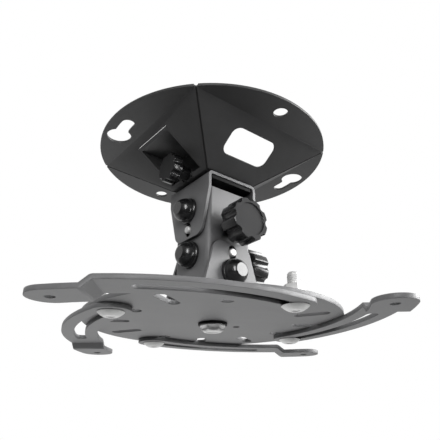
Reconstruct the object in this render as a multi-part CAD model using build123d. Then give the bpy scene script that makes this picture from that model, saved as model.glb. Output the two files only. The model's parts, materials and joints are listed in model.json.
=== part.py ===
from build123d import *
import os
from math import atan, cos, degrees, radians, sin, tan

# Projector ceiling mount, in millimetres.
# The origin is the centre of the ceiling face, +Z is up, the front is -Y and the left is -X.

# Fits
running_fit = 0.05
thread_fit = 0.05
bolt_fit = 0.2
face_gap = 0.1
side_gap = 0.2
arc_play = 0.25

# Fastener sizes
m5_r = 2.5
m6_r = 3.0
m8_r = 4.0
m6_flats = 10.0
m6_nut_h = 5.0
m8_flats = 13.0
m8_nut_h = 6.5
screw_slot = 6.4

# Ceiling plate, a folded round sheet
disc_r = 75.0
ceiling_sheet = 1.5
ceiling_drop = 25.0
fold_r = disc_r * cos(radians(45))
floor_half = 19.0
fold_bend = 2.0
hip_groove = 1.0
hip_groove_depth = 1.0
tip_relief_r = 1.2
rim_inset = 10.0
hole_circle_r = disc_r - rim_inset
ceiling_hole_r = 4.3
keyhole_slot = 7.8
keyhole_eye_r = 7.5
keyhole_turn = 13.2
cable_window = (34.6, 18.7)
cable_window_corner = 5.5
cable_window_r = 37.6
pocket_half = 16.3
pocket_window_out = 48.5
pocket_window_in = 21.8

# Pan lock
pocket_sheet = 1.2
pocket_back = 18.8
lock_z = -21.0
bush_r = 4.2
bush_from = 20.6
bush_to = 13.6
lock_notch = 5.0
lock_knob_r = 9.5
lock_knob_from = 29.6
lock_knob_to = 36.4
lock_hub_r = 4.5
lock_grip = 3.0
lobe_count = 8

# Pan swivel
swivel_head_r = 9.0
swivel_head_h = 7.0
swivel_shoulder_r = 6.0
swivel_washer_r = 12.5
swivel_gap = 0.9
swivel_pad_h = 2.5
swivel_pad_inset = 0.8
bolt_end_out = 1.0

# Yoke brackets, two of the same pressing
yoke_sheet = 2.0
yoke_half = 19.0
yoke_bend = 2.0
web_half = 20.8
ear_straight = 11.3
ear_end_half = 12.9
ear_corner = 7.0
pivot_drop = 21.0
lever = 12.5
ear_tail = 6.0
ear_length = pivot_drop + lever + ear_tail
pin_slot = 9.0

# Middle tube
tube_wall = 1.5
tube_corner = 3.4
tube_reach = 12.9
tilt_limit = 10.0

# Cross pins
trunnion_r = 5.5
trunnion_half = 14.4
pin_r = 2.35
pin_window_gap = 0.4
pin_out = 1.3

# Adjusting knobs and caps
knob_r = 13.3
knob_from = 23.9
knob_to = 36.6
knob_dish_r = 10.0
knob_dish = 0.8
knob_hub_r = 5.0
knob_grip = 6.0
knob_phase = -1.0
cap_r = 8.3
cap_h = 8.5
cap_rim = 1.8
cap_neck_r = 7.6
cap_room = 1.7
cap_bore_r = 6.0
cap_nut_h = 4.0
bolt_tip = 0.6
cap_flat_r = 4.0

# Projector plate
spacer_r = 14.0
spacer_h = 2.5
plate_sheet = 2.5
slot_count = 12
slot_travel = 17.0
clamp_r = disc_r - rim_inset
slot_from = clamp_r - slot_travel
slot_to = clamp_r + screw_slot / 2 + 0.1
index_hole_r = 2.0
index_hole_x = 18.2
plate_washer_r = 8.5
plate_washer_h = 1.4
plate_flange_r = 7.4
plate_flange_h = 1.3
plate_head_flats = 10.0
plate_head_h = 3.2

# Arms
arm_sheet = 2.5
arm_width = 21.0
arm_bow = 120.5
arm_lean = 5.71
arm_slot_sweep = 37.8
step_sweep = 46.0
step_drop = 3.6
step_run = 4.4
step_bend = 2.0
pad_sweep = 9.6
pad_hole_r = 2.4
clamp_head_r = 6.8
clamp_head_h = 3.3
clamp_stand = 11.7
clamp_tip_r = 2.2
clamp_tip_h = 4.6

# Heights that follow from the sizes above
web_top = -ceiling_drop - swivel_gap
tilt_axis = web_top - pivot_drop
tilt_screw_z = tilt_axis - lever
ear_clear = (cap_r + cap_room - ear_tail) / 2
yoke_middle = web_top - ear_length - ear_clear
roll_screw_z = 2 * yoke_middle - tilt_screw_z
roll_axis = roll_screw_z - lever
web_under = roll_axis - pivot_drop
plate_top = web_under - spacer_h
plate_under = plate_top - plate_sheet
arm_under = plate_under - arm_sheet
tube_half = yoke_half - yoke_sheet - side_gap
slope = degrees(atan((ceiling_drop - ceiling_sheet) / (fold_r - floor_half)))
low = (Align.CENTER, Align.CENTER, Align.MIN)


def along(part, origin, direction):
    """Turn a part built up the Z axis so that it runs from a point in a direction."""
    return Plane(origin=origin, z_dir=direction) * part


def rod(radius, length):
    return Cylinder(radius, length, align=low)


def ring(radius, bore, length):
    return rod(radius, length) - rod(bore, length)


def turned(*points):
    """A solid of revolution about Z from its half profile."""
    return revolve(Plane.XZ * make_face(Polyline(*points, close=True)), Axis.Z)


def hexagon(flats, height, bore=0.0):
    """A hexagon nut or head with its corners turned off."""
    corner = flats / 2 / cos(radians(30))
    ease = (corner - flats / 2) * 0.6
    blank = extrude(RegularPolygon(flats / 2, 6, major_radius=False), height)
    turning = turned((0, 0), (corner - ease, 0), (corner, ease), (corner, height - ease), (corner - ease, height),
                     (0, height))
    nut = blank & turning
    if bore > 0:
        nut = nut - rod(bore, height)
    return nut


def lobed(radius, length, count):
    """A knob's body with hollows between its lobes."""
    hollow_r = radius * 0.22
    hollows = PolarLocations(radius * 1.07, count) * Circle(hollow_r)
    body = extrude(Circle(radius) - hollows, length, dir=(0, 0, 1))
    ease = radius * 0.05
    turning = turned((0, 0), (radius - ease, 0), (radius, ease), (radius, length - ease), (radius - ease, length),
                     (0, length))
    return body & turning


def adjusting_knob():
    """Knob with its hub on the tube's face, the axis up Z from the tube's middle."""
    hub_from = tube_half + face_gap
    knob = Pos(0, 0, hub_from) * rod(knob_hub_r, knob_from - hub_from + 1)
    knob = knob + Pos(0, 0, knob_from) * Rot(0, 0, knob_phase) * lobed(knob_r, knob_to - knob_from, lobe_count)
    knob = knob - Pos(0, 0, knob_to - knob_dish) * rod(knob_dish_r, knob_dish)
    return knob - Pos(0, 0, hub_from) * rod(m6_r + thread_fit, knob_from + knob_grip - hub_from)


def adjusting_screw():
    """Screw from inside the knob to its end nut beyond the far face of the tube."""
    end = tube_half + face_gap + cap_nut_h + bolt_tip
    return Pos(0, 0, -end) * rod(m6_r, end + knob_from + knob_grip)


def end_nut():
    return Pos(0, 0, -tube_half - face_gap - cap_nut_h) * hexagon(m6_flats, cap_nut_h, m6_r + thread_fit)


def cap():
    """Black cover with a rim, a neck groove, a dome and a flat end, standing on z = 0."""
    neck = cap_rim + 0.6
    outline = Polyline((0, 0), (cap_r, 0), (cap_r, cap_rim * 0.6), (cap_r - 0.5, cap_rim), (cap_neck_r, cap_rim),
                       (cap_neck_r, neck))
    dome = TangentArc((cap_neck_r, neck), (cap_flat_r, cap_h), tangent=(0, 1))
    close = Polyline((cap_flat_r, cap_h), (0, cap_h), (0, 0))
    shell = revolve(Plane.XZ * make_face(outline + dome + close), Axis.Z)
    hollow = turned((0, 0), (cap_bore_r, 0), (cap_bore_r, cap_nut_h + 0.2), (m6_r + 0.5, cap_nut_h + 1.2),
                    (0, cap_nut_h + 1.2))
    return shell - hollow


def bracket():
    """U bracket with its web's outer face on z = 0 and its ears down, one each side in X."""
    mid = yoke_half - yoke_sheet / 2
    path = FilletPolyline((-mid, -ear_length - 1), (-mid, -yoke_sheet / 2), (mid, -yoke_sheet / 2),
                          (mid, -ear_length - 1), radius=yoke_bend)
    channel = extrude(Plane.XZ * trace(path, line_width=yoke_sheet), amount=web_half, both=True)
    side = Polygon((-web_half, 1), (-web_half, -ear_straight), (-ear_end_half, -ear_length),
                   (ear_end_half, -ear_length), (web_half, -ear_straight), (web_half, 1), align=None)
    side = fillet(side.vertices().filter_by_position(Axis.Y, -ear_length - 0.1, -ear_length + 0.1), ear_corner)
    channel = channel & extrude(Plane.YZ * side, amount=yoke_half + 1, both=True)
    through = 2 * yoke_half + 4
    pivot = Pos(0, 0, -pivot_drop) * Rot(0, 90, 0) * Cylinder(m6_r + running_fit, through)
    pin_way = Plane.YZ * Pos(0, -pivot_drop - lever) * SlotOverall(pin_slot, 2 * (pin_r + running_fit), rotation=90)
    centre = Pos(0, 0, -yoke_sheet - 1) * rod(m8_r + bolt_fit, yoke_sheet + 2)
    return channel - pivot - extrude(pin_way, amount=through / 2, both=True) - centre


def trunnion():
    """Cross pin along X with a thread for the adjusting screw along Y."""
    tip = yoke_half + pin_out
    half = turned((0, 0), (trunnion_r, 0), (trunnion_r, trunnion_half - 0.8), (trunnion_r - 0.8, trunnion_half),
                  (pin_r, trunnion_half), (pin_r, tip - 0.5), (pin_r - 0.5, tip), (0, tip))
    body = along(half, (0, 0, 0), (1, 0, 0)) + along(half, (0, 0, 0), (-1, 0, 0))
    return body - Rot(90, 0, 0) * Cylinder(m6_r + arc_play, 2 * trunnion_r + 2)


def pivot_bolt():
    """Bolt along Z through both ears, its head below the lower ear."""
    end = yoke_half + cap_nut_h + bolt_tip
    head = Pos(0, 0, -yoke_half - cap_nut_h) * hexagon(m6_flats, cap_nut_h)
    return head + Pos(0, 0, -yoke_half - 1) * rod(m6_r, yoke_half + 1 + end)


def pivot_nut():
    return Pos(0, 0, yoke_half) * hexagon(m6_flats, cap_nut_h, m6_r + thread_fit)


def pivot_caps():
    return [Pos(0, 0, yoke_half) * cap(), Pos(0, 0, -yoke_half) * Rot(180, 0, 0) * cap()]


def slope_z(r):
    """Height of the outside of the sloping sheet at a distance from the middle."""
    return -ceiling_sheet - (fold_r - r) * tan(radians(slope))


def ceiling_plate():
    shift = ceiling_sheet / 2 * tan(radians(slope / 2))
    top = -ceiling_sheet / 2
    floor = -ceiling_drop + ceiling_sheet / 2
    path = FilletPolyline((disc_r + 5, top), (fold_r - shift, top), (floor_half - shift, floor), (-1, floor),
                          radius=fold_bend)
    strip = extrude(Plane.XZ * trace(path, line_width=ceiling_sheet), amount=disc_r, both=True)
    wedge = Polygon((0, 0), (2 * disc_r, -2 * disc_r), (2 * disc_r, 2 * disc_r), align=None)
    outline = extrude(wedge & Circle(disc_r), amount=ceiling_drop + 1, both=True)
    side = strip & outline
    plate = side
    for turn in (90, 180, 270):
        plate = plate + Rot(0, 0, turn) * side
    # A groove under each hip, where two sloping faces meet
    hip_middle = (floor_half + fold_r) / 2
    hip_dir = (fold_r - floor_half, fold_r - floor_half, slope_z(fold_r) - slope_z(floor_half))
    hip_out = (sin(radians(slope)), sin(radians(slope)), -2 * cos(radians(slope)))
    hip_plane = Plane(origin=(hip_middle, hip_middle, slope_z(hip_middle)), x_dir=hip_dir, z_dir=hip_out)
    groove = hip_plane * Box(2 * (fold_r - floor_half), hip_groove, 2 * hip_groove_depth)
    for turn in (0, 90, 180, 270):
        plate = plate - Rot(0, 0, turn) * groove
        plate = plate - Rot(0, 0, turn + 45) * Pos(disc_r, 0, 0) * Cylinder(tip_relief_r, 8)
    for turn in (90, 270):
        plate = plate - Rot(0, 0, turn) * Pos(hole_circle_r, 0, 0) * Cylinder(ceiling_hole_r, 8)
    for turn in (0, 180):
        slot = SlotArc(CenterArc((0, 0), hole_circle_r, turn - keyhole_turn, keyhole_turn), height=keyhole_slot)
        eye = Rot(0, 0, turn - keyhole_turn) * Pos(hole_circle_r, 0) * Circle(keyhole_eye_r)
        plate = plate - extrude(slot + eye, amount=4, both=True)
    # Cable window in the front face
    normal = (0, -sin(radians(slope)), -cos(radians(slope)))
    face = Plane(origin=(0, -cable_window_r, slope_z(cable_window_r)), x_dir=(1, 0, 0), z_dir=normal)
    opening = RectangleRounded(cable_window[0], cable_window[1], cable_window_corner)
    plate = plate - extrude(face * opening, amount=5, both=True)
    # Pocket window in the left face
    reach = (pocket_window_out + pocket_window_in) / 2
    length = (pocket_window_out - pocket_window_in) / cos(radians(slope))
    face = Plane(origin=(0, -reach, slope_z(reach)), x_dir=(1, 0, 0), z_dir=normal)
    opening = extrude(face * Rectangle(2 * pocket_half, length), amount=5, both=True)
    plate = plate - Rot(0, 0, -90) * opening
    # Notch for the lock bush and the swivel's hole
    notch_to = swivel_head_r + face_gap
    notch = Box(pocket_window_out, 2 * lock_notch, 2 * lock_notch, align=(Align.MAX, Align.CENTER, Align.CENTER))
    plate = plate - Pos(-notch_to, 0, lock_z) * notch
    return plate - Pos(0, 0, -ceiling_drop) * rod(swivel_shoulder_r + running_fit, 2 * ceiling_sheet)


def lock_pocket():
    """Folded box that fills the square window, its open edges flush with the sloping face."""
    rise = ceiling_sheet / cos(radians(slope)) + running_fit
    far = pocket_window_out - running_fit
    near = pocket_window_in + running_fit
    inside_near = pocket_window_in - ceiling_sheet * sin(radians(slope)) + running_fit
    top = slope_z(far)
    profile = Polygon((-far, top), (-pocket_back, top), (-pocket_back, slope_z(pocket_back) + rise),
                      (-inside_near, slope_z(inside_near) + rise), (-near, slope_z(near)), align=None)
    half = pocket_half - running_fit
    outside = extrude(Plane.XZ * profile, amount=half, both=True)
    hollow = Box(pocket_window_out, 2 * (half - pocket_sheet), 2 * ceiling_drop,
                 align=(Align.MAX, Align.CENTER, Align.MAX))
    inside = Pos(-pocket_back - pocket_sheet, 0, top - pocket_sheet) * hollow
    return outside - inside - along(rod(bush_r + running_fit, pocket_back), (-bush_to, 0, lock_z), (-1, 0, 0))


def arm():
    """The front arm, bowed about a centre behind its clamp screw, round at both ends, with a stepped pad."""
    middle = (-arm_bow * sin(radians(arm_lean)), -clamp_r + arm_bow * cos(radians(arm_lean)))
    start = -90 + arm_lean
    sweep = step_sweep + pad_sweep
    end = radians(start - sweep)
    pad = (middle[0] + arm_bow * cos(end), middle[1] + arm_bow * sin(end))
    outline = trace(CenterArc(middle, arm_bow, start, -sweep), line_width=arm_width)
    outline = outline + Pos(0, -clamp_r) * Circle(arm_width / 2)
    outline = outline + Pos(*pad) * Circle(arm_width / 2)
    outline = outline - Pos(*pad) * Circle(pad_hole_r)
    outline = outline - SlotArc(CenterArc(middle, arm_bow, start, -arm_slot_sweep), height=screw_slot)
    flat = arm_under + arm_sheet / 2
    path = FilletPolyline((-2 * arm_bow, flat), (0, flat), (step_run, flat - step_drop),
                          (arm_bow, flat - step_drop), radius=step_bend)
    folded = extrude(Plane.XZ * trace(path, line_width=arm_sheet), amount=arm_bow, both=True)
    fold = start - step_sweep
    across = Pos(middle[0], middle[1], 0) * Rot(0, 0, fold) * Pos(arm_bow, 0, 0) * Rot(0, 0, -90)
    blank = extrude(Pos(0, 0, arm_under) * outline, amount=2 * step_drop, both=True)
    return blank & across * folded


def projector_plate():
    middle = (slot_from + slot_to) / 2
    slots = PolarLocations(middle, slot_count) * SlotOverall(slot_to - slot_from, screw_slot)
    face = Circle(disc_r) - slots - Circle(m8_r + bolt_fit) - Pos(index_hole_x, 0) * Circle(index_hole_r)
    return extrude(Pos(0, 0, plate_under) * face, plate_sheet, dir=(0, 0, 1))


def clamp_screw():
    """Low round head under the arm and a shank up through the slots, at the front."""
    dome = RadiusArc((clamp_head_r, -0.9), (clamp_head_r * 0.35, -clamp_head_h), clamp_head_r * 1.25)
    edge = Polyline((clamp_head_r * 0.35, -clamp_head_h), (0, -clamp_head_h), (0, 0), (clamp_head_r, 0),
                    (clamp_head_r, -0.9))
    head = revolve(Plane.XZ * make_face(dome + edge), Axis.Z)
    drive = Pos(0, 0, -clamp_head_h) * extrude(RegularPolygon(2.0, 6, major_radius=False), 1.8)
    end = arm_sheet + plate_sheet + clamp_stand
    tip = end - clamp_tip_h
    shank = turned((0, 0), (m6_r, 0), (m6_r, tip - 0.6), (clamp_tip_r, tip), (clamp_tip_r, end - 0.6),
                   (clamp_tip_r - 0.6, end), (0, end))
    return Pos(0, -clamp_r, arm_under) * (head - drive + shank)


def clamp_nut():
    return Pos(0, -clamp_r, plate_top) * hexagon(m6_flats, m6_nut_h, m6_r + thread_fit)


parts = {}

# Ceiling side
parts["ceiling_plate"] = ceiling_plate()
parts["lock_pocket"] = lock_pocket()
parts["lock_bush"] = along(ring(bush_r, m5_r + thread_fit, bush_from - bush_to), (-bush_to, 0, lock_z), (-1, 0, 0))
lock_body = lobed(lock_knob_r, lock_knob_to - lock_knob_from, lobe_count)
lock_hub_h = lock_knob_from - bush_from - 0.4
lock_body = lock_body + Pos(0, 0, -lock_hub_h) * rod(lock_hub_r, lock_hub_h)
lock_body = lock_body - Pos(0, 0, -lock_hub_h) * rod(m5_r + thread_fit, lock_hub_h + lock_grip)
parts["pan_lock_knob"] = along(lock_body, (-lock_knob_from, 0, lock_z), (-1, 0, 0))
lock_tip = swivel_head_r + face_gap
parts["pan_lock_screw"] = along(rod(m5_r, lock_knob_from + lock_grip - lock_tip), (-lock_tip, 0, lock_z), (-1, 0, 0))
floor_top = -ceiling_drop + ceiling_sheet + running_fit
swivel = Pos(0, 0, floor_top) * rod(swivel_head_r, swivel_head_h)
swivel = swivel + Pos(0, 0, web_top) * rod(swivel_shoulder_r, floor_top - web_top + 1)
nut_top = web_top - yoke_sheet - swivel_pad_h
swivel_end = nut_top - m8_nut_h - bolt_end_out
parts["swivel_bolt"] = swivel + Pos(0, 0, swivel_end) * rod(m8_r, web_top - swivel_end + 1)
parts["swivel_washer"] = Pos(0, 0, web_top) * ring(swivel_washer_r, swivel_shoulder_r + face_gap, swivel_gap - face_gap)
pad_half = yoke_half - yoke_sheet / 2 - yoke_bend - side_gap
swivel_pad = Box(2 * pad_half, 2 * (web_half - swivel_pad_inset), swivel_pad_h, align=low)
parts["swivel_pad"] = Pos(0, 0, nut_top) * (swivel_pad - rod(m8_r + bolt_fit, swivel_pad_h))
parts["swivel_nut"] = Pos(0, 0, nut_top - m8_nut_h) * hexagon(m8_flats, m8_nut_h, m8_r + thread_fit)

# Yoke
to_right = (1, 0, 0)
to_left = (-1, 0, 0)
to_front = (0, -1, 0)
to_back = (0, 1, 0)
tilt_point = (0, 0, tilt_axis)
tilt_screw_point = (0, 0, tilt_screw_z)
roll_point = (0, 0, roll_axis)
roll_screw_point = (0, 0, roll_screw_z)
parts["upper_bracket"] = Pos(0, 0, web_top) * bracket()
parts["tilt_trunnion"] = Pos(0, 0, tilt_screw_z) * trunnion()
parts["tilt_pivot_bolt"] = along(pivot_bolt(), tilt_point, to_right)
parts["tilt_pivot_nut"] = along(pivot_nut(), tilt_point, to_right)
parts["tilt_pivot_caps"] = Compound([along(one, tilt_point, to_right) for one in pivot_caps()])
tube_top = tilt_axis + tube_reach
tube_bottom = roll_axis - tube_reach
section = RectangleRounded(2 * tube_half, 2 * tube_half, tube_corner)
bore = RectangleRounded(2 * (tube_half - tube_wall), 2 * (tube_half - tube_wall), tube_corner - tube_wall)
tube = extrude(Pos(0, 0, tube_bottom) * (section - bore), tube_top - tube_bottom, dir=(0, 0, 1))
swing = lever * sin(radians(tilt_limit)) + pin_r + pin_window_gap
pin_window = extrude(RectangleRounded(2 * swing, pin_slot, pin_r), amount=yoke_half, both=True)
across_bore = Cylinder(m6_r + running_fit, 2 * yoke_half)
level_x = Plane(origin=(0, 0, 0), x_dir=(0, 1, 0), z_dir=(1, 0, 0))
level_y = Plane(origin=(0, 0, 0), x_dir=(1, 0, 0), z_dir=(0, -1, 0))
tube = tube - Pos(*tilt_point) * (level_x * across_bore)
tube = tube - Pos(*tilt_screw_point) * (level_y * across_bore)
tube = tube - Pos(*tilt_screw_point) * (level_x * pin_window)
tube = tube - Pos(*roll_point) * (level_y * across_bore)
tube = tube - Pos(*roll_screw_point) * (level_x * across_bore)
tube = tube - Pos(*roll_screw_point) * (level_y * pin_window)
parts["middle_tube"] = tube
screw_cap = Pos(0, 0, -tube_half - face_gap) * Rot(180, 0, 0) * cap()
parts["tilt_knob"] = along(adjusting_knob(), tilt_screw_point, to_front)
parts["tilt_screw"] = along(adjusting_screw(), tilt_screw_point, to_front)
parts["tilt_screw_nut"] = along(end_nut(), tilt_screw_point, to_front)
parts["tilt_screw_cap"] = along(screw_cap, tilt_screw_point, to_front)
parts["roll_knob"] = along(adjusting_knob(), roll_screw_point, to_right)
parts["roll_screw"] = along(adjusting_screw(), roll_screw_point, to_right)
parts["roll_screw_nut"] = along(end_nut(), roll_screw_point, to_right)
parts["roll_screw_cap"] = along(screw_cap, roll_screw_point, to_right)
parts["lower_bracket"] = Pos(0, 0, web_under) * Rot(0, 0, 90) * Rot(180, 0, 0) * bracket()
parts["roll_trunnion"] = Pos(0, 0, roll_screw_z) * Rot(0, 0, 90) * trunnion()
parts["roll_pivot_bolt"] = along(pivot_bolt(), roll_point, to_back)
parts["roll_pivot_nut"] = along(pivot_nut(), roll_point, to_back)
parts["roll_pivot_caps"] = Compound([along(one, roll_point, to_back) for one in pivot_caps()])

# Projector side
parts["plate_spacer"] = Pos(0, 0, plate_top) * ring(spacer_r, m8_r + bolt_fit, spacer_h)
parts["projector_plate"] = projector_plate()
washer_under = plate_under - plate_washer_h
parts["plate_bolt_washer"] = Pos(0, 0, washer_under) * ring(plate_washer_r, m8_r + bolt_fit, plate_washer_h)
bolt_end = web_under + yoke_sheet + m8_nut_h + bolt_end_out
plate_bolt = Pos(0, 0, washer_under - plate_flange_h) * rod(plate_flange_r, plate_flange_h)
plate_bolt = plate_bolt + Pos(0, 0, washer_under - plate_flange_h - plate_head_h) * hexagon(plate_head_flats, plate_head_h + 0.5)
plate_bolt = plate_bolt + Pos(0, 0, washer_under - 0.5) * rod(m8_r, bolt_end - washer_under + 0.5)
parts["plate_bolt"] = plate_bolt
parts["plate_nut"] = Pos(0, 0, web_under + yoke_sheet) * hexagon(m8_flats, m8_nut_h, m8_r + thread_fit)
front_arm = arm()
front_screw = clamp_screw()
front_nut = clamp_nut()
for place, turn in (("front", 0), ("left", -90), ("back", 180), ("right", 90)):
    parts["arm_" + place] = Rot(0, 0, turn) * front_arm
    parts["clamp_screw_" + place] = Rot(0, 0, turn) * front_screw
    parts["clamp_nut_" + place] = Rot(0, 0, turn) * front_nut

os.makedirs("parts", exist_ok=True)
for name, part in parts.items():
    export_step(part, "parts/" + name + ".step")
print("heights", round(tilt_axis, 2), round(roll_axis, 2), round(plate_under, 2), round(arm_under - step_drop, 2))
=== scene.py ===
import bpy
import bmesh
import json
import math
from mathutils import Matrix, Vector


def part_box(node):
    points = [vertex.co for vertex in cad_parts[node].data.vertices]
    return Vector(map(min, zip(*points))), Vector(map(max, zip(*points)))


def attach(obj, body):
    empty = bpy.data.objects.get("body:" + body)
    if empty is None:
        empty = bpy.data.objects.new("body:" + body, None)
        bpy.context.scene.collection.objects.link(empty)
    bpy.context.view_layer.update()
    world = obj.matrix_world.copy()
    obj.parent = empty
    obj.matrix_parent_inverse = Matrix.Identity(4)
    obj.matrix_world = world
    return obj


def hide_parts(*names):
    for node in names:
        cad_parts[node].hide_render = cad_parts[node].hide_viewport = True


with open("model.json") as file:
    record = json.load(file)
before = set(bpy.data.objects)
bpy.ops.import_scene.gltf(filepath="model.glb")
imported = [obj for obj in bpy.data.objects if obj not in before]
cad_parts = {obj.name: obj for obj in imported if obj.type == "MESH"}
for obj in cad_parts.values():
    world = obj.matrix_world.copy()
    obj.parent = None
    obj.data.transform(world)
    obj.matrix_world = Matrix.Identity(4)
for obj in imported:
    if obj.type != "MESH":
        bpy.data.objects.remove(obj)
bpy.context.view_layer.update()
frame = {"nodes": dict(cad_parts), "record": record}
scene = bpy.context.scene
MM = 0.001
PLACES = ("front", "left", "back", "right")


# Shader helpers


def link(tree, a, b):
    tree.links.new(a, b)


def new_material(name):
    """A new material, its node tree and its main shader."""
    mat = bpy.data.materials.new(name)
    mat.use_nodes = True
    tree = mat.node_tree
    return mat, tree, tree.nodes["Principled BSDF"]


def object_coords(tree):
    return tree.nodes.new("ShaderNodeTexCoord").outputs["Object"]


def noise(tree, coords, scale, detail=2.0):
    """Cloudy noise with about scale features to the metre."""
    n = tree.nodes.new("ShaderNodeTexNoise")
    n.inputs["Scale"].default_value = scale
    n.inputs["Detail"].default_value = detail
    n.inputs["Roughness"].default_value = 0.55
    link(tree, coords, n.inputs["Vector"])
    return n.outputs["Fac"]


def ramp(tree, value, low, high, out_low=0.0, out_high=1.0):
    """A value's way from low to high, laid over out_low to out_high."""
    m = tree.nodes.new("ShaderNodeMapRange")
    m.inputs["From Min"].default_value = low
    m.inputs["From Max"].default_value = high
    m.inputs["To Min"].default_value = out_low
    m.inputs["To Max"].default_value = out_high
    link(tree, value, m.inputs["Value"])
    return m.outputs["Result"]


def stretched(tree, value):
    """Noise keeps near its middle, so that part of it is spread over the whole range."""
    return ramp(tree, value, low=0.35, high=0.65)


def maths(tree, kind, a, b):
    m = tree.nodes.new("ShaderNodeMath")
    m.operation = kind
    for socket, value in ((m.inputs[0], a), (m.inputs[1], b)):
        if isinstance(value, (int, float)):
            socket.default_value = value
        else:
            link(tree, value, socket)
    return m.outputs[0]


def weighted(tree, a, share_a, b, share_b):
    """Two values added, each times its share."""
    return maths(tree, "ADD", maths(tree, "MULTIPLY", a, share_a), maths(tree, "MULTIPLY", b, share_b))


def mix(tree, factor, a, b):
    m = tree.nodes.new("ShaderNodeMix")
    m.data_type = "RGBA"
    link(tree, factor, m.inputs["Factor"])
    for socket, value in ((m.inputs["A"], a), (m.inputs["B"], b)):
        if isinstance(value, tuple):
            socket.default_value = (*value, 1.0)
        else:
            link(tree, value, socket)
    return m.outputs["Result"]


def along(tree, vector, other):
    """How far a vector points along a fixed direction or along another vector."""
    dot = tree.nodes.new("ShaderNodeVectorMath")
    dot.operation = "DOT_PRODUCT"
    link(tree, vector, dot.inputs[0])
    if isinstance(other, tuple):
        dot.inputs[1].default_value = other
    else:
        link(tree, other, dot.inputs[1])
    return dot.outputs["Value"]


def add_bump(tree, bsdf, height, strength, depth):
    bump = tree.nodes.new("ShaderNodeBump")
    bump.inputs["Strength"].default_value = strength
    bump.inputs["Distance"].default_value = depth
    link(tree, height, bump.inputs["Height"])
    link(tree, bump.outputs["Normal"], bsdf.inputs["Normal"])


def edge_mask(tree, radius, coords, wear_scale):
    """White along the sharp edges, broken up by noise."""
    bevel = tree.nodes.new("ShaderNodeBevel")
    bevel.samples = 6
    bevel.inputs["Radius"].default_value = radius
    true_normal = tree.nodes.new("ShaderNodeNewGeometry").outputs["Normal"]
    edge = ramp(tree, along(tree, bevel.outputs["Normal"], true_normal), low=0.99, high=0.80)
    patchy = ramp(tree, noise(tree, coords, wear_scale, detail=4.0), low=0.40, high=0.62)
    return maths(tree, "MULTIPLY", edge, patchy)


def add_painted_shade(tree, colour, painted_shade_reach, painted_shade_darkest, open_at):
    """Painted shade: darken a colour in corners and hollows, where shadow falls, by how closed in each spot
    is.
    """
    ao = tree.nodes.new("ShaderNodeAmbientOcclusion")
    ao.samples = 8
    ao.inputs["Distance"].default_value = painted_shade_reach
    # The occlusion sets how far painted shade darkens the colour, down to the darkest level
    depth = ramp(tree, ao.outputs["AO"], low=0.15, high=open_at, out_low=painted_shade_darkest)
    m = tree.nodes.new("ShaderNodeVectorMath")
    m.operation = "SCALE"
    link(tree, colour, m.inputs[0])
    link(tree, depth, m.inputs["Scale"])
    return m.outputs["Vector"]


# Materials


def grey(level, blue=0.0):
    """A grey with a little more or less blue in it."""
    return (level, level, level + blue)


def powder_coat(name, dark, light, edge, rough, painted_shade_reach, painted_shade_darkest, open_at=0.75):
    """Sprayed and baked paint: orange peel, slight clouding, specks, rubbed edges, and painted shade in
    corners and hollows.
    """
    mat, tree, bsdf = new_material(name)
    coords = object_coords(tree)
    cloud = noise(tree, coords, scale=38.0, detail=3.0)
    speck = noise(tree, coords, scale=2600.0)
    peel = noise(tree, coords, scale=1500.0)
    body = mix(tree, stretched(tree, weighted(tree, cloud, 0.65, speck, 0.35)), dark, light)
    wear = 0.6
    worn = maths(tree, "MULTIPLY", edge_mask(tree, 0.35 * MM, coords, wear_scale=420.0), wear)
    coat = mix(tree, worn, body, edge)
    # Painted shade darkens the coat in corners and hollows
    link(tree, add_painted_shade(tree, coat, painted_shade_reach, painted_shade_darkest, open_at), bsdf.inputs["Base Color"])
    spread = 0.10
    roughness = weighted(tree, cloud, spread, peel, spread)
    link(tree, maths(tree, "ADD", roughness, rough - spread), bsdf.inputs["Roughness"])
    add_bump(tree, bsdf, peel, strength=0.22, depth=0.10 * MM)
    bsdf.inputs["Metallic"].default_value = 0.0
    return mat


def zinc_plate(name):
    """Plated steel with a soft grain and small dull patches."""
    mat, tree, bsdf = new_material(name)
    coords = object_coords(tree)
    patch = noise(tree, coords, scale=260.0, detail=4.0)
    grain = noise(tree, coords, scale=3200.0)
    body = mix(tree, stretched(tree, patch), grey(0.74, -0.005), grey(0.86, -0.01))
    link(tree, body, bsdf.inputs["Base Color"])
    smoothest = 0.40
    roughness = maths(tree, "ADD", weighted(tree, patch, 0.18, grain, 0.12), smoothest)
    link(tree, roughness, bsdf.inputs["Roughness"])
    add_bump(tree, bsdf, grain, strength=0.12, depth=0.05 * MM)
    bsdf.inputs["Metallic"].default_value = 0.5
    return mat


def moulded(name, dark, light, rough, shine, axis=None):
    """Moulded black plastic with a faint texture and finger shine; a knob's end faces are matt."""
    mat, tree, bsdf = new_material(name)
    coords = object_coords(tree)
    cloud = noise(tree, coords, scale=120.0, detail=3.0)
    fine = noise(tree, coords, scale=4200.0)
    body = mix(tree, stretched(tree, cloud), dark, light)
    wear = 0.35
    worn = maths(tree, "MULTIPLY", edge_mask(tree, 0.4 * MM, coords, wear_scale=600.0), wear)
    link(tree, mix(tree, worn, body, grey(0.06)), bsdf.inputs["Base Color"])
    spread = 0.10
    roughness = maths(tree, "ADD", weighted(tree, cloud, 1.4 * spread, fine, 0.6 * spread), rough - spread)
    if axis:
        normal = tree.nodes.new("ShaderNodeTexCoord").outputs["Normal"]
        facing = maths(tree, "ABSOLUTE", along(tree, normal, axis), 0.0)
        matt_end = ramp(tree, facing, low=0.80, high=0.97, out_high=0.66)
        roughness = maths(tree, "ADD", roughness, matt_end)
    link(tree, roughness, bsdf.inputs["Roughness"])
    bsdf.inputs["Specular IOR Level"].default_value = shine
    add_bump(tree, bsdf, fine, strength=0.10, depth=0.04 * MM)
    return mat
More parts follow.
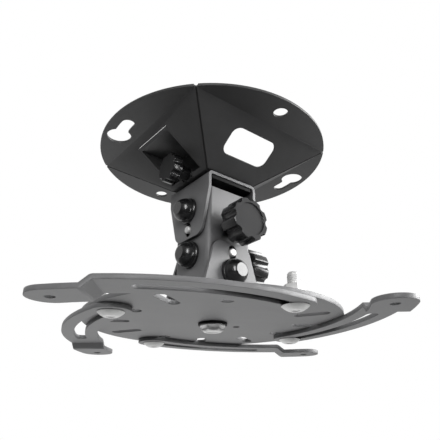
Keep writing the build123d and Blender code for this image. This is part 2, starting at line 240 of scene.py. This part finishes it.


# The yoke's deep corners get darker painted shade than those of the flat plate and arms, in the same paint
grey_coat = {"dark": grey(0.17, 0.003), "light": grey(0.215, 0.005), "edge": grey(0.45), "rough": 0.46}
glossy = {"rough": 0.24, "shine": 0.85}
# Each powder coat paints shade into its corners: the reach says how far it spreads, the darkest level how
# deep it goes
materials = {
    "black_paint": powder_coat("black_paint", grey(0.046, 0.0005), grey(0.064, 0.001), grey(0.12), rough=0.54,
                               painted_shade_reach=6 * MM, painted_shade_darkest=0.35),
    "grey_paint": powder_coat("grey_paint", **grey_coat, painted_shade_reach=20 * MM, painted_shade_darkest=0.04, open_at=0.92),
    "zinc": zinc_plate("zinc"),
    "black_plastic": moulded("black_plastic", grey(0.006, 0.0005), grey(0.011, 0.001), **glossy),
    "black_nylon": moulded("black_nylon", grey(0.006), grey(0.011), rough=0.55, shine=0.12),
}
# A copy of the grey paint with lighter, shorter-reaching painted shade, for the flat plate and arms
grey_less_painted_shade = powder_coat("grey_paint_less_painted_shade", **grey_coat, painted_shade_reach=8 * MM, painted_shade_darkest=0.45)
own_look = {node: grey_less_painted_shade for node in ("projector_plate", *("arm_" + place for place in PLACES))}
knob_axis = {"tilt_knob": (0, 1, 0), "roll_knob": (1, 0, 0), "pan_lock_knob": (1, 0, 0)}
for node, axis in knob_axis.items():
    own_look[node] = moulded("black_plastic_" + node, grey(0.010, 0.0005), grey(0.016, 0.001), **glossy,
                             axis=axis)


# Finish and soft edges on the CAD pieces
edge_round = {"black_paint": 0.25 * MM, "grey_paint": 0.35 * MM, "zinc": 0.25 * MM,
              "black_plastic": 0.45 * MM, "black_nylon": 0.2 * MM}


def soften(obj, width):
    """Join the facets of each flat face, round the edges, and weld the slivers that rounding leaves."""
    weld = obj.modifiers.new("weld", "WELD")
    weld.merge_threshold = 0.002 * MM
    flat = obj.modifiers.new("flat", "DECIMATE")
    flat.decimate_type = "DISSOLVE"
    flat.angle_limit = math.radians(0.4)
    bevel = obj.modifiers.new("bevel", "BEVEL")
    bevel.width = width
    bevel.segments = 2
    bevel.limit_method = "ANGLE"
    bevel.angle_limit = math.radians(35)
    bevel.harden_normals = True
    tidy = obj.modifiers.new("tidy", "WELD")
    tidy.merge_threshold = 0.001 * MM


slot_of = {part["node"]: part["material_slot"] for part in frame["record"]["subparts"]}
for node, obj in frame["nodes"].items():
    kind = slot_of[node]
    obj.data.materials.clear()
    obj.data.materials.append(own_look.get(node, materials[kind]))
    soften(obj, edge_round[kind])


# Forms of the added pieces


def add_piece(name, mesh_maker, body, kind):
    """A new piece with its own mesh, which rides on a body and takes a slot's material."""
    mesh = bpy.data.meshes.new(name)
    bm = bmesh.new()
    mesh_maker(bm)
    bmesh.ops.recalc_face_normals(bm, faces=bm.faces)
    bm.to_mesh(mesh)
    bm.free()
    obj = bpy.data.objects.new(name, mesh)
    scene.collection.objects.link(obj)
    obj.data.materials.append(materials[kind])
    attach(obj, body)
    return obj


def smooth(obj):
    """Shade round faces smooth and keep the corners sharp."""
    for face in obj.data.polygons:
        face.use_smooth = True
    obj.data.set_sharp_from_angle(angle=math.radians(24))


def turned(bm, centre, profile, flats, turn=0.0, around=96):
    """A solid turned about a vertical line, from rows of radius, height and whether the row is a hexagon.

    A hexagon row is a circle cut back to the flats, and the first and last rows lie on the line.
    """
    rows = []
    for radius, z, is_hexagon in profile:
        if radius == 0.0:
            rows.append([bm.verts.new((*centre, z))])
            continue
        row = []
        for k in range(around):
            angle = 2 * math.pi * k / around
            off_flat = (angle - turn + math.pi / 6) % (math.pi / 3) - math.pi / 6
            r = min(radius, flats / 2 / math.cos(off_flat)) if is_hexagon else radius
            row.append(bm.verts.new((centre[0] + r * math.cos(angle), centre[1] + r * math.sin(angle), z)))
        rows.append(row)
    for a, b in zip(rows, rows[1:]):
        for k in range(around):
            n = (k + 1) % around
            if len(a) == 1:
                bm.faces.new((a[0], b[k], b[n]))
            elif len(b) == 1:
                bm.faces.new((a[k], b[0], a[n]))
            else:
                bm.faces.new((a[k], b[k], b[n], a[n]))


def flange_bolt(bm, top, flange_r, flats, head, shank_r, end, turn):
    """A bolt with a coned flange, a hexagon with turned-off corners, a dished face and a chamfered end."""
    low = top - head
    dish_r = 0.30 * flats
    dish_lip_r = 0.34 * flats
    face_r = 0.465 * flats
    corner_r = flats / 2 / math.cos(math.radians(30))
    dish = low + 0.35 * MM
    corners_from = low + 0.75 * MM
    cone_from = top - 2.1 * MM
    cone_to = top - 0.95 * MM
    cone_r = flange_r - 0.5 * MM
    edge_from = top - 0.7 * MM
    edge_to = top - 0.12 * MM
    seat_r = flange_r - 0.15 * MM
    chamfer = 0.7 * MM
    face = [(0.0, dish, False), (dish_r, dish, False), (dish_lip_r, low, False), (face_r, low, False)]
    hexagon = [(corner_r, corners_from, True), (corner_r, cone_from, True)]
    flange = [(cone_r, cone_to, False), (flange_r, edge_from, False), (flange_r, edge_to, False),
              (seat_r, top, False)]
    shank = [(shank_r, top, False), (shank_r, end - chamfer, False), (shank_r - chamfer, end, False),
             (0.0, end, False)]
    turned(bm, (0, 0), face + hexagon + flange + shank, flats, turn)


def round_screw(bm, centre, under, head_r, head, drive_r, shank_r, end):
    """A screw with a low coned head, a flat face with a shallow hexagon in it, and a chamfered end."""
    face = under - head
    face_r = 0.55 * head_r
    socket = face + 0.3 * MM
    drive_flats = 1.74 * drive_r
    rim = under - 0.3 * MM
    rim_edge = under - 0.1 * MM
    rim_edge_r = head_r - 0.08 * MM
    seat_r = head_r - 0.25 * MM
    chamfer_from = end - 0.8 * MM
    end_r = shank_r - 0.7 * MM
    slope = 0.65
    steps = 8
    drive = [(0.0, socket, False), (drive_r, socket, True), (drive_r, face, True)]
    cone = []
    for k in range(steps + 1):
        out = k / steps
        crowned = 1 - slope * out - (1 - slope) * out ** 2
        cone.append((face_r + (head_r - face_r) * out, rim + (face - rim) * crowned, False))
    seat = [(rim_edge_r, rim_edge, False), (seat_r, under, False)]
    shank = [(shank_r, under, False), (shank_r, chamfer_from, False), (end_r, end, False), (0.0, end, False)]
    turned(bm, centre, drive + cone + seat + shank, drive_flats)


def helix(bm, centre, start, length, root, crest, pitch, around=20):
    """A closed ridge wound round a vertical shank, running out at both ends."""
    sunk = root - 0.05 * MM
    foot = 0.46 * pitch
    land = 0.06 * pitch
    run_out = 0.4 * around
    least = 0.02
    steps = int((length - pitch) / pitch * around)
    rings = []
    for i in range(steps + 1):
        angle = 2 * math.pi * i / around
        rise = start + pitch * (0.5 + i / around)
        ease = min(1.0, i / run_out, (steps - i) / run_out)
        top = root + (crest - root) * max(ease, least)
        ring = []
        for r, dz in ((sunk, -foot), (top, -land), (top, land), (sunk, foot)):
            x = centre[0] + r * math.cos(angle)
            y = centre[1] + r * math.sin(angle)
            ring.append(bm.verts.new((x, y, rise + dz)))
        rings.append(ring)
    for a, b in zip(rings, rings[1:]):
        for k in range(4):
            bm.faces.new((a[k], a[(k + 1) % 4], b[(k + 1) % 4], b[k]))
    bm.faces.new(rings[0][::-1])
    bm.faces.new(rings[-1])


def shims(bm, x_from, x_to, axis_z, bore, half, low, high):
    """Two blocks, hollowed to a round bore along X, on either side of it between low and high."""
    steps = 8
    for side in (-1, 1):
        outline = [(half, low), (half, high)]
        for k in range(steps + 1):
            z = high + (low - high) * k / steps
            outline.append((math.sqrt(bore ** 2 - (z - axis_z) ** 2), z))
        ends = [[bm.verts.new((x, side * y, z)) for y, z in outline] for x in (x_from, x_to)]
        bm.faces.new(ends[0])
        bm.faces.new(ends[1][::-1])
        count = len(outline)
        for k in range(count):
            n = (k + 1) % count
            bm.faces.new((ends[0][k], ends[0][n], ends[1][n], ends[1][k]))


# Flange bolt under the projector plate
bolt_low, bolt_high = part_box("plate_bolt")
bolt_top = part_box("plate_bolt_washer")[0].z
bolt_flats = 11.2 * MM
bolt_head = bolt_top - bolt_low.z - 0.8 * MM
bolt_shank_r = 4.0 * MM
bolt_turn = math.radians(237)
plate_bolt = add_piece("plate_flange_bolt",
                       lambda bm: flange_bolt(bm, bolt_top, bolt_high.x, bolt_flats, bolt_head, bolt_shank_r,
                                              bolt_high.z, bolt_turn),
                       "plate", "zinc")
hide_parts("plate_bolt")
smooth(plate_bolt)

# Clamp screws: flat-faced coned heads, and threads on their free ends
solid_head = 3.3 * MM
screw_head = 2.5 * MM
screw_head_r = 7.0 * MM
screw_drive_r = 2.3 * MM
screw_r = 3.0 * MM
thread_crest = 3.22 * MM
thread_pitch = 1.0 * MM
for place in PLACES:
    low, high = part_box("clamp_screw_" + place)
    centre = ((low.x + high.x) / 2, (low.y + high.y) / 2)
    under = low.z + solid_head
    end = high.z
    screw = add_piece("round_head_screw_" + place,
                      lambda bm: round_screw(bm, centre, under, screw_head_r, screw_head, screw_drive_r,
                                             screw_r, end),
                      "screw_" + place, "zinc")
    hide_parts("clamp_screw_" + place)
    smooth(screw)
    thread_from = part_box("clamp_nut_" + place)[1].z - 0.4 * MM
    thread_length = end - 0.7 * MM - thread_from
    add_piece("thread_" + place,
              lambda bm: helix(bm, centre, thread_from, thread_length, screw_r, thread_crest, thread_pitch),
              "screw_" + place, "zinc")

# Shims that close the notch in the ceiling plate's floor on either side of the lock bush
bush_low, bush_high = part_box("lock_bush")
bush_z = (bush_low.z + bush_high.z) / 2
shim_bore = (bush_high.z - bush_low.z) / 2 + 0.05 * MM
shim_half = 4.95 * MM
shim_from = -19.8 * MM
shim_to = bush_high.x - 1.0 * MM
shim_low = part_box("ceiling_plate")[0].z + 0.05 * MM
shim_high = shim_low + 1.4 * MM
add_piece("lock_shims",
          lambda bm: shims(bm, shim_from, shim_to, bush_z, shim_bore, shim_half, shim_low, shim_high),
          "ceiling", "black_paint")


# Floor: pale, far below, and kept out of the reflections and the bounced light
white = (1, 1, 1, 1)
floor_mesh = bpy.data.meshes.new("floor")
floor_bm = bmesh.new()
bmesh.ops.create_grid(floor_bm, x_segments=1, y_segments=1, size=18.0)
floor_bm.to_mesh(floor_mesh)
floor_bm.free()
floor = bpy.data.objects.new("floor", floor_mesh)
floor.location = (0, 0, -0.85)
floor.visible_diffuse = False
floor.visible_glossy = False
floor.visible_shadow = False
scene.collection.objects.link(floor)
floor_mat, _, floor_bsdf = new_material("floor_pale")
floor_bsdf.inputs["Base Color"].default_value = (*grey(0.20), 1)
floor_bsdf.inputs["Roughness"].default_value = 0.9
floor_bsdf.inputs["Specular IOR Level"].default_value = 0.1
floor_bsdf.inputs["Emission Color"].default_value = white
floor_bsdf.inputs["Emission Strength"].default_value = 0.74
floor.data.materials.append(floor_mat)

# Studio: white to the eye, and three soft glows to light the part, from behind, above and low at the back
dimmest = 0.025
glows = (
    {"direction": (0.57, 0.82, 0), "low": -0.3, "high": 0.6, "gain": 0.45},
    {"direction": (0, 0, 1), "low": -0.1, "high": 0.4, "gain": 0.25},
    {"direction": (0.25, 0.63, -0.73), "low": 0.45, "high": 0.95, "gain": 0.42},
)
world = bpy.data.worlds.new("studio")
world.use_nodes = True
scene.world = world
sky_tree = world.node_tree
lit = sky_tree.nodes["Background"]
lit.inputs["Color"].default_value = white
sky = sky_tree.nodes.new("ShaderNodeTexCoord").outputs["Generated"]
glow_sum = 0.0
for glow in glows:
    toward = along(sky_tree, sky, glow["direction"])
    level = ramp(sky_tree, toward, glow["low"], glow["high"], dimmest, dimmest + glow["gain"])
    glow_sum = maths(sky_tree, "ADD", level, glow_sum)
link(sky_tree, glow_sum, lit.inputs["Strength"])
seen = sky_tree.nodes.new("ShaderNodeBackground")
seen.inputs["Color"].default_value = white
seen.inputs["Strength"].default_value = 1.0
path = sky_tree.nodes.new("ShaderNodeLightPath")
either = sky_tree.nodes.new("ShaderNodeMixShader")
link(sky_tree, path.outputs["Is Camera Ray"], either.inputs[0])
link(sky_tree, lit.outputs[0], either.inputs[1])
link(sky_tree, seen.outputs[0], either.inputs[2])
link(sky_tree, either.outputs[0], sky_tree.nodes["World Output"].inputs["Surface"])
scene.view_settings.view_transform = "Standard"


def area_light(name, place, target, wide, high, watts):
    """A soft rectangular lamp that looks at its target and isn't seen itself."""
    data = bpy.data.lights.new(name, "AREA")
    data.shape = "RECTANGLE"
    data.size = wide
    data.size_y = high
    data.energy = watts
    lamp = bpy.data.objects.new(name, data)
    lamp.location = place
    lamp.rotation_mode = "QUATERNION"
    lamp.rotation_quaternion = (Vector(target) - Vector(place)).to_track_quat("-Z", "Y")
    lamp.visible_camera = False
    scene.collection.objects.link(lamp)


yoke_middle = (0, 0, -0.06)
area_light("key", (0.98, -0.66, 0.32), yoke_middle, wide=0.95, high=0.75, watts=24)
area_light("under", (0.20, 0.50, -0.66), (0, 0, -0.08), wide=0.6, high=0.5, watts=0.42)
area_light("low_strip", (0.30, -0.98, -0.22), (-0.03, 0, -0.03), wide=0.10, high=0.45, watts=1.4)
area_light("strip", (-0.60, -0.74, 0.16), yoke_middle, wide=0.20, high=0.55, watts=4.2)

# Camera: from the front left, below the part, with the photo's width and focal length in pixels
photo_px = 440
focal_px = 460.41
sensor = 36
eye = Vector((-167.22, -212.84, -171.2)) * MM
azimuth, elevation, roll = (math.radians(angle) for angle in (-39.18, -24.59, -0.5))
behind = Vector((math.sin(azimuth) * math.cos(elevation), -math.cos(azimuth) * math.cos(elevation),
                 math.sin(elevation)))
right = Vector((math.cos(azimuth), math.sin(azimuth), 0))
up = behind.cross(right)
rolled_right = math.cos(roll) * right + math.sin(roll) * up
rolled_up = -math.sin(roll) * right + math.cos(roll) * up
camera = bpy.data.objects.new("camera", bpy.data.cameras.new("camera"))
scene.collection.objects.link(camera)
turn_to_view = Matrix((rolled_right, rolled_up, behind)).transposed().to_4x4()
camera.matrix_world = Matrix.Translation(eye) @ turn_to_view
camera.data.sensor_width = sensor
camera.data.lens = focal_px / photo_px * sensor
camera.data.clip_start = 0.01
scene.camera = camera
